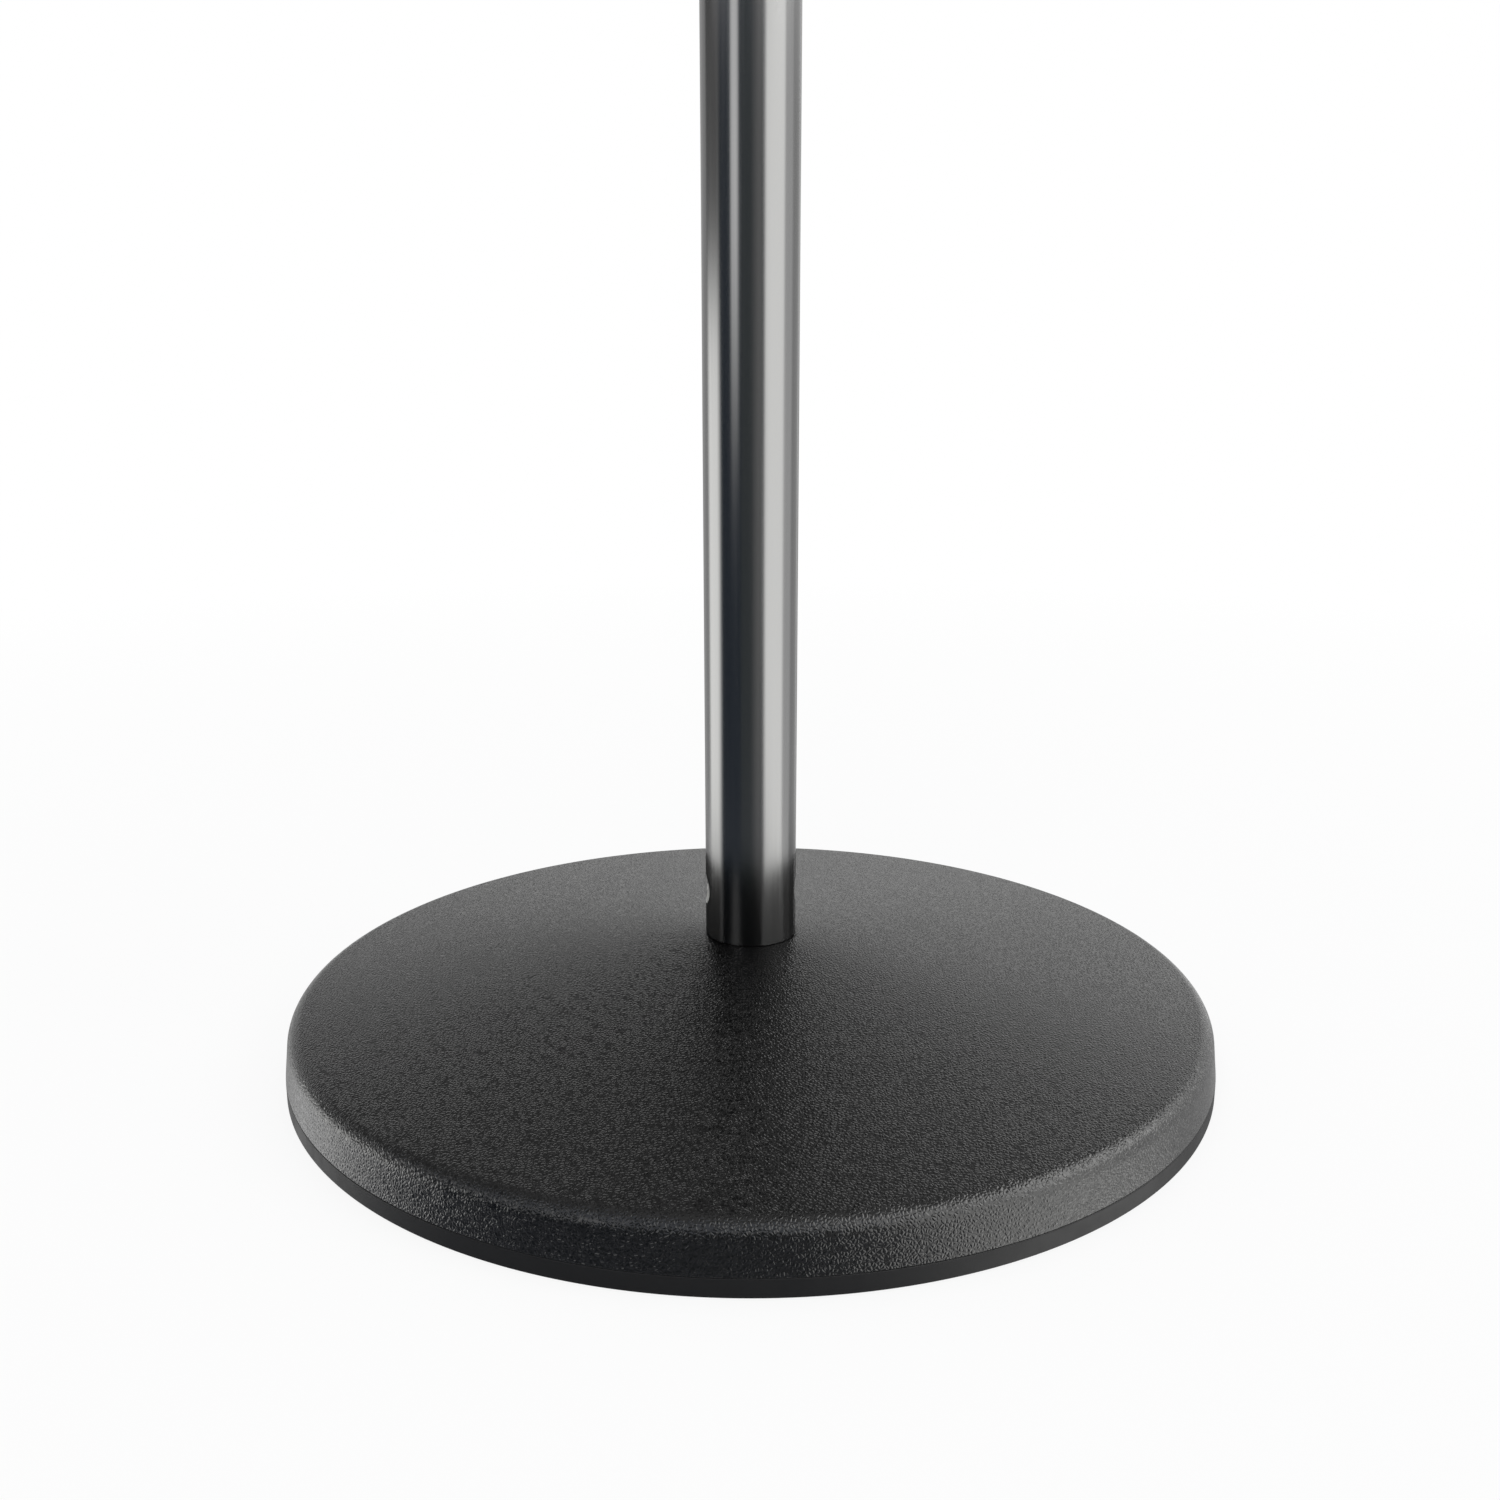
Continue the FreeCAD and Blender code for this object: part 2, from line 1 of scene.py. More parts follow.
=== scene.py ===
import bmesh
import bpy
import numpy as np
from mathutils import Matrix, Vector


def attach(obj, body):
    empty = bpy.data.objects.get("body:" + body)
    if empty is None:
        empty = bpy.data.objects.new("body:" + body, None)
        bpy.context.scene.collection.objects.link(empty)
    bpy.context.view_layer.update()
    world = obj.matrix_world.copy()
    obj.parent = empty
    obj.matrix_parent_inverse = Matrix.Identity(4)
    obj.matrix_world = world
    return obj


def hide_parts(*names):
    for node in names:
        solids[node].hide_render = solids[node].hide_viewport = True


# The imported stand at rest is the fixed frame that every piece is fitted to. The stand's axis is Z, the
# floor is z = 0, and sizes are in millimetres until a mesh is made.
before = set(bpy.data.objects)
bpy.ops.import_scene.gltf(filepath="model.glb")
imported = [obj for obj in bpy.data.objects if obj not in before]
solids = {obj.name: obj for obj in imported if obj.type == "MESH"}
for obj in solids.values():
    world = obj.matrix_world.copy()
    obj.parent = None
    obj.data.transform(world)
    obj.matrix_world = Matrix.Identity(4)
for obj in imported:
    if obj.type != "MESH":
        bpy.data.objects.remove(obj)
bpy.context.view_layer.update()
scene = bpy.context.scene
scene.view_settings.view_transform = "Standard"


# Base casting
# A hollow cone of cast iron with a rounded rim, and a boss in the middle that the tube is screwed into.
# It is cast in sand and blasted, and its black powder coat sets in fine pebbles that soften every edge.
# The coat has a sharp gloss under a softer clear skin, so that every pebble glints a little.


def outline(corners, steps=7):
    """A closed outline through (radius, height, rounding) corners. A rounded corner is an arc that touches
    both of its sides: with start and end the touching points seen from the arc's centre and w the angle
    between them, a point of it is centre + (start sin((1 - s) w) + end sin(s w)) / sin w."""
    corners = np.array(corners, float)
    spot = corners[:, :2]
    rounding = corners[:, 2:]
    back = np.roll(spot, 1, axis=0) - spot
    ahead = np.roll(spot, -1, axis=0) - spot
    back /= np.linalg.norm(back, axis=1, keepdims=True)
    ahead /= np.linalg.norm(ahead, axis=1, keepdims=True)
    middle = back + ahead
    middle /= np.linalg.norm(middle, axis=1, keepdims=True)
    half = np.arccos(np.sum(back * ahead, axis=1, keepdims=True)) / 2
    centre = spot + middle * rounding / np.sin(half)
    start = spot + back * rounding / np.tan(half) - centre
    end = spot + ahead * rounding / np.tan(half) - centre
    share = np.linspace(0, 1, steps)
    turn = np.pi - 2 * half
    from_start = start[:, None] * np.sin((1 - share) * turn)[..., None]
    from_end = end[:, None] * np.sin(share * turn)[..., None]
    arcs = centre[:, None] + (from_start + from_end) / np.sin(turn)[..., None]
    return arcs[(rounding > 0) | (share == 0)]


def side_points(points, shortest=3.0):
    """The outline with more points on its long sides, the outer two close to the ends, so that the shading
    of a rounded corner doesn't run on into the straight side next to it."""
    shares = np.array([0, 0.008, 0.2, 0.4, 0.6, 0.8, 0.992])
    ahead = np.roll(points, -1, axis=0) - points
    long = np.linalg.norm(ahead, axis=1, keepdims=True) > shortest
    filled = points[:, None] + shares[:, None] * ahead[:, None]
    return filled[long | (shares == 0)]


def quads(rows, columns, rows_close, columns_close):
    """The corner numbers of a grid's faces: a point, its right neighbour, that one's upper neighbour, and
    the point's own upper neighbour. A direction that closes joins its last line to its first."""
    number = np.arange(rows * columns).reshape(rows, columns)
    if rows_close:
        number = np.vstack((number, number[:1]))
    if columns_close:
        number = np.hstack((number, number[:, :1]))
    corners = (number[:-1, :-1], number[:-1, 1:], number[1:, 1:], number[1:, :-1])
    return np.stack(corners, axis=-1).reshape(-1, 4)


def turned(points, columns, rows_close=True, relief=0.0):
    """A turned skin: an outline point (r, z) at angle a goes to (q cos a, q sin a, z), where q is r less
    the relief at that row and column."""
    angle = np.linspace(0, 2 * np.pi, columns, endpoint=False)
    radius = points[:, :1] - relief
    height = np.broadcast_to(points[:, 1:], (len(points), columns))
    grid = np.stack((radius * np.cos(angle), radius * np.sin(angle), height), axis=-1)
    return grid.reshape(-1, 3), quads(len(points), columns, rows_close, True)


def piece(name, *skins):
    """One object from skins of (points, faces), laid end to end, with the points that meet merged. Shading
    is smooth, except over edges that turn by more than 35 degrees."""
    counts = [len(points) for points, faces in skins]
    points = np.vstack([points for points, faces in skins]) * 0.001
    faces = np.vstack([faces + sum(counts[:n]) for n, (points, faces) in enumerate(skins)])
    mesh = bpy.data.meshes.new(name)
    mesh.from_pydata(points.tolist(), [], faces.tolist())
    joined = bmesh.new()
    joined.from_mesh(mesh)
    bmesh.ops.remove_doubles(joined, verts=joined.verts, dist=1e-6)
    joined.to_mesh(mesh)
    joined.free()
    mesh.shade_smooth()
    mesh.set_sharp_from_angle(angle=np.radians(35))
    thing = bpy.data.objects.new(name, mesh)
    scene.collection.objects.link(thing)
    return thing


def fit(thing, body, node, finish):
    """The piece takes its finish, rides on its body and stands for its solid."""
    thing.data.materials.append(finish)
    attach(thing, body)
    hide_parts(node)


def new_finish(name, colour, roughness, metallic=0.0, specular=0.5):
    """A material, with what is even all over set on its shader's own sockets."""
    material = bpy.data.materials.new(name)
    material.use_nodes = True
    shader = material.node_tree.nodes["Principled BSDF"]
    shader.inputs["Base Color"].default_value = (*colour, 1)
    shader.inputs["Roughness"].default_value = roughness
    shader.inputs["Metallic"].default_value = metallic
    shader.inputs["Specular IOR Level"].default_value = specular
    return material


def lumps(material, size, detail=2.0, stretch=(1, 1, 1)):
    """A noise on Object coordinates whose lumps have that size in millimetres, and the stretch along each
    axis. It gives the noise's output socket."""
    nodes = material.node_tree.nodes
    links = material.node_tree.links
    place = nodes.new("ShaderNodeTexCoord")
    scale = nodes.new("ShaderNodeMapping")
    scale.inputs["Scale"].default_value = [1000 / (size * part) for part in stretch]
    noise = nodes.new("ShaderNodeTexNoise")
    noise.inputs["Scale"].default_value = 1
    noise.inputs["Detail"].default_value = detail
    links.new(place.outputs["Object"], scale.inputs["Vector"])
    links.new(scale.outputs["Vector"], noise.inputs["Vector"])
    return noise.outputs["Fac"]


def raise_by(material, height, depth):
    """Bump: the height, from 0 to 1, lifts the surface by up to the depth in millimetres. A second call
    adds its bump to the first one's."""
    nodes = material.node_tree.nodes
    links = material.node_tree.links
    normal = nodes["Principled BSDF"].inputs["Normal"]
    bump = nodes.new("ShaderNodeBump")
    bump.inputs["Strength"].default_value = 1
    bump.inputs["Distance"].default_value = depth * 0.001
    links.new(height, bump.inputs["Height"])
    if normal.links:
        links.new(normal.links[0].from_socket, bump.inputs["Normal"])
    links.new(bump.outputs["Normal"], normal)


def vary(material, socket, noise, low, high):
    """Let a noise carry a socket of the shader from low to high, two numbers or two colours. Nearly all of
    a noise lies between 0.3 and 0.7, so these are where low and high are reached."""
    least = 0.3
    most = 0.7
    nodes = material.node_tree.nodes
    links = material.node_tree.links
    target = nodes["Principled BSDF"].inputs[socket]
    if isinstance(low, tuple):
        ramp = nodes.new("ShaderNodeValToRGB")
        ends = ramp.color_ramp.elements
        ends[0].position = least
        ends[0].color = (*low, 1)
        ends[1].position = most
        ends[1].color = (*high, 1)
        links.new(noise, ramp.inputs["Fac"])
        links.new(ramp.outputs["Color"], target)
        return
    spread = nodes.new("ShaderNodeMapRange")
    spread.inputs["From Min"].default_value = least
    spread.inputs["From Max"].default_value = most
    spread.inputs["To Min"].default_value = low
    spread.inputs["To Max"].default_value = high
    links.new(noise, spread.inputs["Value"])
    links.new(spread.outputs["Result"], target)


def pebbled(material, size, valley):
    """Pebbles of about that size in millimetres on Object coordinates, by the distance to the nearest edge
    between Voronoi cells. Their height is 0 in the middle of a valley and 1 on a pebble's flat top, and a
    valley's side is as wide as that share of the size. It gives the height's output socket."""
    nodes = material.node_tree.nodes
    links = material.node_tree.links
    place = nodes.new("ShaderNodeTexCoord")
    cells = nodes.new("ShaderNodeTexVoronoi")
    cells.feature = "DISTANCE_TO_EDGE"
    cells.inputs["Scale"].default_value = 1000 / size
    slope = nodes.new("ShaderNodeMapRange")
    slope.interpolation_type = "SMOOTHSTEP"
    slope.inputs["From Max"].default_value = valley
    links.new(place.outputs["Object"], cells.inputs["Vector"])
    links.new(cells.outputs["Distance"], slope.inputs["Value"])
    return slope.outputs["Result"]


def clear_layer(material, weight, roughness):
    """A clear layer over the finish, of that weight and roughness, that follows the bump beneath it."""
    shader = material.node_tree.nodes["Principled BSDF"]
    shader.inputs["Coat Weight"].default_value = weight
    shader.inputs["Coat Roughness"].default_value = roughness
    bump = shader.inputs["Normal"].links[0].from_socket
    material.node_tree.links.new(bump, shader.inputs["Coat Normal"])


base_r = 127.0
base_columns = 288
ring_top = 4.5
rim_r = 125.7
rim_height = 16.2
rim_rounding = 4.6
seat_r = 12.9
seat_height = 31.2
spigot_hole_r = 8.08
boss_r = 23.0
boss_foot = 6.0
hollow_r = 110.0
groove_in_r = 118.9
groove_out_r = 122.1
groove_top = 8.1
base_outline = outline([
    (base_r, ring_top, 0.3),
    (rim_r, rim_height, rim_rounding),
    (seat_r, seat_height, 0.0),
    (spigot_hole_r, seat_height, 0.0),
    (spigot_hole_r, boss_foot, 0.5),
    (boss_r, boss_foot, 1.2),
    (boss_r, 19.857, 2.5),
    (hollow_r, 8.288, 2.5),
    (hollow_r, ring_top, 0.5),
    (groove_in_r, ring_top, 0.0),
    (groove_in_r, groove_top, 0.0),
    (groove_out_r, groove_top, 0.0),
    (groove_out_r, ring_top, 0.0),
], steps=14)
base = piece("base_casting_coated", turned(side_points(base_outline), base_columns))

pebble_coat = new_finish("pebble_powder_coat", (0.0025, 0.0025, 0.0025), 0.1, specular=0.4)
pebbles = pebbled(pebble_coat, 0.85, 0.35)
raise_by(pebble_coat, pebbles, 0.08)
# The coat's colour is darker in the valleys between the pebbles and lighter on their tops: painted shade in
# the valleys.
vary(pebble_coat, "Base Color", pebbles, (0.0015, 0.0015, 0.0015), (0.003, 0.003, 0.003))
vary(pebble_coat, "Roughness", lumps(pebble_coat, 9.0), 0.08, 0.12)
clear_layer(pebble_coat, 0.52, 0.28)
fit(base, "stand", "base_casting", pebble_coat)


# Rubber foot ring
# A moulded black rubber ring, flush with the rim. It is pushed by its tongue into the groove under the
# casting, keeps the iron off the floor and stops the stand from sliding.

ring_in_r = 115.0
tongue_in_r = 119.0
tongue_out_r = 122.0
tongue_top = 8.0
ring_outline = outline([
    (base_r, 0.0, 0.25),
    (base_r, ring_top, 0.3),
    (tongue_out_r, ring_top, 0.0),
    (tongue_out_r, tongue_top, 0.6),
    (tongue_in_r, tongue_top, 0.6),
    (tongue_in_r, ring_top, 0.0),
    (ring_in_r, ring_top, 0.4),
    (ring_in_r, 0.0, 0.4),
])
ring = piece("rubber_foot_ring_moulded", turned(side_points(ring_outline), base_columns))

foot_rubber = new_finish("smooth_foot_rubber", (0.012, 0.012, 0.0125), 0.45, specular=0.25)
raise_by(foot_rubber, lumps(foot_rubber, 0.5), 0.012)
vary(foot_rubber, "Roughness", lumps(foot_rubber, 6.0), 0.4, 0.5)
fit(ring, "stand", "rubber_foot_ring", foot_rubber)


# Foot plug
# A turned steel plug, zinc plated, pressed into the foot of the lower tube. Its threaded spigot screws into
# the base, and the cross hole runs through it, so that a bar in the hole pulls the joint tight.


def lathe_marks(material, width):
    """A noise that is the same all the way round the Z axis, read at (distance from the axis, height), so
    that it makes the fine rings of a turned surface. The width of a ring is in millimetres."""
    nodes = material.node_tree.nodes
    links = material.node_tree.links
    place = nodes.new("ShaderNodeTexCoord")
    level = nodes.new("ShaderNodeVectorMath")
    level.operation = "MULTIPLY"
    level.inputs[1].default_value = (1, 1, 0)
    from_axis = nodes.new("ShaderNodeVectorMath")
    from_axis.operation = "LENGTH"
    parts = nodes.new("ShaderNodeSeparateXYZ")
    ring_place = nodes.new("ShaderNodeCombineXYZ")
    noise = nodes.new("ShaderNodeTexNoise")
    noise.inputs["Scale"].default_value = 1000 / width
    noise.inputs["Detail"].default_value = 3
    links.new(place.outputs["Object"], level.inputs[0])
    links.new(level.outputs["Vector"], from_axis.inputs[0])
    links.new(place.outputs["Object"], parts.inputs["Vector"])
    links.new(from_axis.outputs["Value"], ring_place.inputs["X"])
    links.new(parts.outputs["Z"], ring_place.inputs["Z"])
    links.new(ring_place.outputs["Vector"], noise.inputs["Vector"])
    return noise.outputs["Fac"]


def refinish(finish, *nodes):
    """Solids that are shown as they are get this finish in place of their plain one."""
    for node in nodes:
        solids[node].data.materials.clear()
        solids[node].data.materials.append(finish)


zinc_steel = new_finish("turned_zinc_steel", (0.55, 0.55, 0.56), 0.3, metallic=1.0)
raise_by(zinc_steel, lathe_marks(zinc_steel, 0.3), 0.01)
vary(zinc_steel, "Roughness", lumps(zinc_steel, 3.0), 0.25, 0.4)
refinish(zinc_steel, "foot_plug")


# Lower tube
# A drawn steel tube, 25 mm across, polished and plated in dark bright chrome. It stands on the cone's seat
# with nothing round its foot. The bar's hole is drilled through both walls, and its edges are broken.


def wall_points(radius, angle, height):
    """Points of a round wall: (r cos a, r sin a, height)."""
    angle, height = np.broadcast_arrays(angle, height)
    return np.stack((radius * np.cos(angle), radius * np.sin(angle), height), axis=-1)


def hole_rim(radius, hole, side):
    """The rim of a drilled hole on a round wall, as angles and heights from the hole's middle: at angle t
    the height is h sin t, and the sine of the wall's angle is h cos t / r, for a hole of radius h. There
    are as many points as round a square with that many faces to a side, from its lower right corner on."""
    turn = np.arange(4 * side) * np.pi / 2 / side - np.pi / 4
    return np.arcsin(hole * np.cos(turn) / radius), hole * np.sin(turn)


def drilled_band(radius, reach, hole, level, aim, columns, side):
    """A band of a round wall with a hole on either side. Round each hole is a square patch, whose points
    run straight, in angle and height, from the hole's rim to the square; plain strips lie between."""
    half = np.pi * side / columns
    along = np.linspace(-1, 1, side, endpoint=False)
    full = np.ones(side)
    square_angle = np.concatenate((full, -along, -full, along)) * half
    square_height = np.concatenate((along, full, -along, -full)) * reach
    rim_angle, rim_height = hole_rim(radius, hole, side)
    share = np.array([0, 0.05, 0.2, 0.4, 0.7, 1.0])
    patch_angle = rim_angle[:, None] * (1 - share) + square_angle[:, None] * share
    patch_height = rim_height[:, None] * (1 - share) + square_height[:, None] * share
    strip_columns = columns // 2 - side + 1
    strip_angle = np.linspace(half, np.pi - half, strip_columns)
    strip_height = np.linspace(-reach, reach, side + 1)[:, None]
    patch_faces = quads(4 * side, len(share), True, False)
    strip_faces = quads(side + 1, strip_columns, False, False)
    skins = []
    for turn in (aim, aim + np.pi):
        patch = wall_points(radius, turn + patch_angle, level + patch_height)
        strip = wall_points(radius, turn + strip_angle, level + strip_height)
        skins.append((patch.reshape(-1, 3), patch_faces))
        skins.append((strip.reshape(-1, 3), strip_faces))
    return skins


def turned_from(skin, aim):
    """A turned skin whose first column stands at the angle aim."""
    points, faces = skin
    spin = np.array([[np.cos(aim), np.sin(aim), 0], [-np.sin(aim), np.cos(aim), 0], [0, 0, 1]])
    return points @ spin, faces


def drilled_tube(name, outer, bore, foot, top, hole, level, aim, columns, side, groove=()):
    """A tube with a hole through both walls: a drilled band outside and one inside, the holes' own walls,
    and turned skins over and under the bands. A wall of the hole runs from the bore's rim to the outer
    rim through the points (wall radius, hole radius), which break both edges."""
    reach = outer * np.pi * side / columns
    edge = 0.2
    over = np.array([
        (outer, level + reach), (outer, level + reach + 1), (outer, top - 1), (outer, top - edge),
        (outer - edge, top), (bore + edge, top), (bore, top - edge), (bore, level + reach),
    ])
    under = np.array([
        (bore, level - reach), (bore, foot + edge), (bore + edge, foot), (outer - edge, foot),
        (outer, foot + edge), *groove, (outer, level - reach - 1), (outer, level - reach),
    ])
    skins = [turned_from(turned(part, columns, rows_close=False), aim) for part in (over, under)]
    skins += drilled_band(outer, reach, hole + edge, level, aim, columns, side)
    lining = drilled_band(bore, reach, hole + edge, level, aim, columns, side)
    skins += [(points, faces[:, ::-1]) for points, faces in lining]
    steps = [(bore, hole + edge), (bore + edge, hole), (outer - edge, hole), (outer, hole + edge)]
    rims = [hole_rim(radius, size, side) for radius, size in steps]
    for turn in (aim, aim + np.pi):
        loops = [wall_points(step[0], turn + rim[0], level + rim[1]) for step, rim in zip(steps, rims)]
        wall = np.stack(loops, axis=1)
        skins.append((wall.reshape(-1, 3), quads(4 * side, len(steps), True, False)))
    return piece(name, *skins)


def mark_hole(thing, hole, level, aim):
    """An attribute that is 1 where a point's distance from the hole's own axis is the hole's radius, which
    is on the hole's drilled wall, and 0 everywhere else."""
    slack = 0.05
    spots = np.empty(3 * len(thing.data.vertices))
    thing.data.vertices.foreach_get("co", spots)
    x, y, z = spots.reshape(-1, 3).T * 1000
    hole_wall = np.hypot(y * np.cos(aim) - x * np.sin(aim), z - level) < hole + slack
    thing.data.attributes.new("hole_wall", "FLOAT", "POINT").data.foreach_set("value", hole_wall.astype(float))


bar_hole = 4.0
bar_level = 44.2
bar_aim = np.radians(5)
lower_tube = drilled_tube(
    "lower_tube_plated", outer=12.5, bore=11.0, foot=seat_height, top=801.2,
    hole=bar_hole, level=bar_level, aim=bar_aim, columns=192, side=36,
)
mark_hole(lower_tube, bar_hole, bar_level, bar_aim)

tube_chrome = new_finish("dark_bright_chrome", (0.25, 0.25, 0.25), 0.17, metallic=1.0)
vary(tube_chrome, "Roughness", lumps(tube_chrome, 0.6, stretch=(1, 1, 120)), 0.15, 0.19)
# The hole's drilled wall is matt light grey and not metallic: a painted reflection, in place of what the
# chrome wall would reflect.
hole_reflection_mask = tube_chrome.node_tree.nodes.new("ShaderNodeAttribute")
hole_reflection_mask.attribute_name = "hole_wall"
vary(tube_chrome, "Base Color", hole_reflection_mask.outputs["Fac"], (0.25, 0.25, 0.25), (0.5, 0.5, 0.48))
vary(tube_chrome, "Metallic", hole_reflection_mask.outputs["Fac"], 1.0, 0.0)
fit(lower_tube, "stand", "lower_tube", tube_chrome)


# Clutch collar, guide bush, collet and spring ring
# The standing half of the height clutch: a zinc plated collar pressed on the tube's mouth, a plastic bush
# in the mouth, a slotted plastic collet in the collar's cone, and the spring ring that holds the grip on.

natural_acetal = new_finish("natural_acetal", (0.72, 0.7, 0.64), 0.42)
raise_by(natural_acetal, lumps(natural_acetal, 0.4), 0.01)
vary(natural_acetal, "Base Color", lumps(natural_acetal, 7.0), (0.66, 0.64, 0.58), (0.76, 0.74, 0.69))
spring_steel = new_finish("blackened_spring_steel", (0.16, 0.16, 0.17), 0.38, metallic=1.0)
raise_by(spring_steel, lumps(spring_steel, 0.3), 0.006)
vary(spring_steel, "Roughness", lumps(spring_steel, 1.5), 0.3, 0.45)
refinish(zinc_steel, "clutch_body")
refinish(natural_acetal, "guide_bush", "collet")
refinish(spring_steel, "retaining_ring")


# Thrust ring and nut
# The brass nut turns on the collar's thread and presses the collet down through a plastic ring. Both are
# hidden in the hand grip.

turned_brass = new_finish("turned_brass", (0.72, 0.53, 0.25), 0.28, metallic=1.0)
raise_by(turned_brass, lathe_marks(turned_brass, 0.25), 0.01)
vary(turned_brass, "Roughness", lumps(turned_brass, 3.0), 0.22, 0.36)
refinish(turned_brass, "grip_nut")
refinish(natural_acetal, "thrust_ring")


# Grip sleeve
# The hand grip of the clutch, moulded in black plastic over the brass nut. Thirty flutes run down it and
# fade out before both ends; a lip at its foot closes the gap round the lower tube.

grip_r = 19.62
grip_foot = 773.2
grip_top = 831.2
flute_count = 30
flute_r = 1.6
flute_depth = 0.8
flute_columns = 20
flute_low = grip_foot + 5
flute_high = grip_top - 5
fade = 2.4
nut_bore_r = 17.04
nut_seat = 787.6
neck_r = 14.42
lip_r = 13.1
lip_top = grip_foot + 3


def flute_relief(heights):
    """How far the flutes cut into the grip. A flute is a circle of radius f with its centre c from the
    grip's axis: at angle a from its middle the cut surface is at c cos a - root(f2 - c2 sin2 a), and the
    relief is the grip's radius less that. At both ends it fades along a quarter of a circle."""
    centre = grip_r + flute_r - flute_depth
    turn = (np.arange(flute_columns) / flute_columns - 0.5) * 2 * np.pi / flute_count
    inside = np.maximum(flute_r ** 2 - (centre * np.sin(turn)) ** 2, 0)
    cut = np.maximum(grip_r - centre * np.cos(turn) + np.sqrt(inside), 0) * (inside > 0)
    to_end = np.minimum(heights - flute_low, flute_high - heights)
    share = np.clip(to_end / fade, 0, 1)
    fading = np.sqrt(1 - (1 - share) ** 2)
    return fading[:, None] * np.tile(cut, flute_count)


wall_heights = np.concatenate((
    [grip_foot + 1.6, flute_low - 1],
    flute_low + fade * (1 - np.cos(np.linspace(0, np.pi / 2, 9))),
    np.linspace(flute_low + fade, flute_high - fade, 6)[1:-1],
    flute_high - fade * (1 - np.cos(np.linspace(np.pi / 2, 0, 9))),
    [flute_high + 1, grip_top - 0.6],
))
grip_wall = np.column_stack((np.full(len(wall_heights), grip_r), wall_heights))
grip_rest = outline([
    (grip_r, grip_top, 0.4),
    (nut_bore_r, grip_top, 0.0),
    (nut_bore_r, nut_seat, 0.0),
    (neck_r, nut_seat, 0.0),
    (neck_r, lip_top, 0.0),
    (lip_r, lip_top, 0.3),
    (lip_r, grip_foot, 0.4),
    (grip_r - 1.2, grip_foot, 0.5),
    (grip_r, grip_foot + 1.2, 0.3),
], steps=5)
grip_points = np.vstack((grip_wall, grip_rest))
grip_columns = flute_count * flute_columns
grip_relief = np.zeros((len(grip_points), grip_columns))
grip_relief[:len(grip_wall)] = flute_relief(wall_heights)
grip = piece("grip_sleeve_fluted", turned(grip_points, grip_columns, relief=grip_relief))

grip_plastic = new_finish("matt_grip_plastic", (0.022, 0.022, 0.024), 0.5)
raise_by(grip_plastic, lumps(grip_plastic, 0.22, detail=3.0), 0.02)
vary(grip_plastic, "Roughness", lumps(grip_plastic, 5.0), 0.46, 0.56)
fit(grip, "clutch_grip", "grip_sleeve", grip_plastic)


# Grip cap
# A moulded trim ring, pressed on the top of the grip, that hides the nut. Its mouth clears the upper tube.

cap_mouth_r = 10.1
cap_top = grip_top + 5
cap_outline = outline([
    (cap_mouth_r, grip_top, 0.0),
    (grip_r, grip_top, 0.4),
    (grip_r, cap_top - 1.2, 0.5),
    (grip_r - 1.2, cap_top, 0.5),
    (cap_mouth_r, cap_top, 0.4),
], steps=5)
cap = piece("grip_cap_moulded", turned(side_points(cap_outline), 192))
fit(cap, "clutch_grip", "grip_cap", grip_plastic)


# Upper tube
# A thinner tube with the same plating, which slides and turns in the lower one. It has a groove for the
# spring ring near its foot, and a small hole across its top for the pin that holds the head.

upper_r = 9.5
upper_top = 966.2
spring_r = 9.0
spring_low = 231.4
spring_high = 232.6
pin_hole = 1.5
pin_level = 954.2
pin_aim = np.radians(90)
pin_columns = 160
pin_side = 12
spring_groove = [
    (upper_r, spring_low), (spring_r, spring_low), (spring_r, spring_high), (upper_r, spring_high),
]
upper_tube = drilled_tube(
    "upper_tube_plated", outer=upper_r, bore=8.3, foot=191.2, top=upper_top,
    hole=pin_hole, level=pin_level, aim=pin_aim, columns=pin_columns, side=pin_side, groove=spring_groove,
)
fit(upper_tube, "upper_mast", "upper_tube", tube_chrome)


# Slide bush, end plug, spring ring and bumper
# What guides the foot of the upper tube inside the lower one: a plastic sleeve on a zinc plated plug, kept
# there by an open spring ring, with a rubber cushion underneath for when the tube drops.

bumper_rubber = new_finish("bumper_rubber", (0.03, 0.03, 0.03), 0.65)
raise_by(bumper_rubber, lumps(bumper_rubber, 0.4), 0.015)
vary(bumper_rubber, "Roughness", lumps(bumper_rubber, 3.0), 0.58, 0.72)
refinish(natural_acetal, "slide_bush")
refinish(zinc_steel, "end_plug")
refinish(spring_steel, "bush_retainer")
refinish(bumper_rubber, "rubber_bumper")


# Head plug
# A turned and plated plug in the top of the upper tube. Its shank is drilled across for the pin, and its
# head is bored for the root of the stud.

shank_r = 8.28
shank_foot = 941.2
shank_reach = shank_r * np.pi * pin_side / pin_columns
head_r = 10.5
head_top = 972.2
socket_r = 4.0
socket_foot = 957.18
shank_line = np.array([
    (0, shank_foot), (shank_r - 0.6, shank_foot), (shank_r, shank_foot + 0.6),
    (shank_r, pin_level - shank_reach),
])
head_line = np.array([
    (shank_r, pin_level + shank_reach), (shank_r, upper_top), (head_r - 0.2, upper_top),
    (head_r, upper_top + 0.2), (head_r, upper_top + 0.6), (head_r, head_top - 1.6), (head_r, head_top - 1.0),
    (head_r - 0.12, head_top - 0.75), (head_r - 0.75, head_top - 0.12), (head_r - 1.0, head_top),
    (head_r - 1.5, head_top), (socket_r + 0.5, head_top), (socket_r, head_top - 0.2),
    (socket_r, socket_foot), (0, socket_foot),
])
plug_lines = (shank_line, head_line)
plug_skins = [turned_from(turned(line, pin_columns, rows_close=False), pin_aim) for line in plug_lines]
plug_skins += drilled_band(shank_r, shank_reach, pin_hole, pin_level, pin_aim, pin_columns, pin_side)
